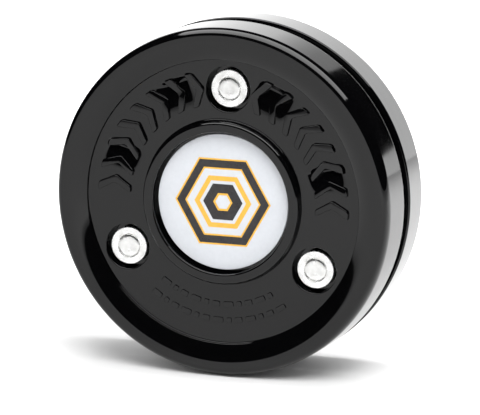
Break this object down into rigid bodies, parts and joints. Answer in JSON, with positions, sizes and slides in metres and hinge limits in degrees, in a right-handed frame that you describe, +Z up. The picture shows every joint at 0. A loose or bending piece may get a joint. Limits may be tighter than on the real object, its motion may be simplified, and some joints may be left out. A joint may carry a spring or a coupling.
{
  "type": "hockey puck",
  "caption": "Round black plastic hockey training puck, split at mid-thickness into halves that slide loosely on steel rivets, with a round label in the raised boss of each face.",
  "frame": {"origin": "on the floor, under the middle of the puck, which stands on its rim", "axes": "+Z up; -Y out of the front face along the puck's axis; +X to the right, seen from the front"},
  "size_m": [0.0762, 0.0254, 0.0762],
  "materials": {
    "black_plastic": "glossy moulded polycarbonate",
    "rivet_steel": "polished, lightly worn steel",
    "label_print": "glossy printed white film"
  },
  "bodies": {
    "front_half": {"front_disc": "black_plastic", "front_label": "label_print"},
    "back_half": {"back_disc": "black_plastic", "back_label": "label_print"},
    "rivet_1": {"rivet_pin_1": "rivet_steel", "front_washer_1": "rivet_steel", "back_washer_1": "rivet_steel"},
    "rivet_2": {"rivet_pin_2": "rivet_steel", "front_washer_2": "rivet_steel", "back_washer_2": "rivet_steel"},
    "rivet_3": {"rivet_pin_3": "rivet_steel", "front_washer_3": "rivet_steel", "back_washer_3": "rivet_steel"}
  },
  "joints": [
    {"name": "halves_slide", "type": "slide", "parent": "front_half", "child": "back_half", "axis": [0, 1, 0], "range_m": [-0.0009, 0.0003]},
    {"name": "rivet_1_float", "type": "slide", "parent": "front_half", "child": "rivet_1", "axis": [0, 1, 0], "range_m": [-0.00015, 0.00045]},
    {"name": "rivet_2_float", "type": "slide", "parent": "front_half", "child": "rivet_2", "axis": [0, 1, 0], "range_m": [-0.00015, 0.00045]},
    {"name": "rivet_3_float", "type": "slide", "parent": "front_half", "child": "rivet_3", "axis": [0, 1, 0], "range_m": [-0.00015, 0.00045]}
  ]
}
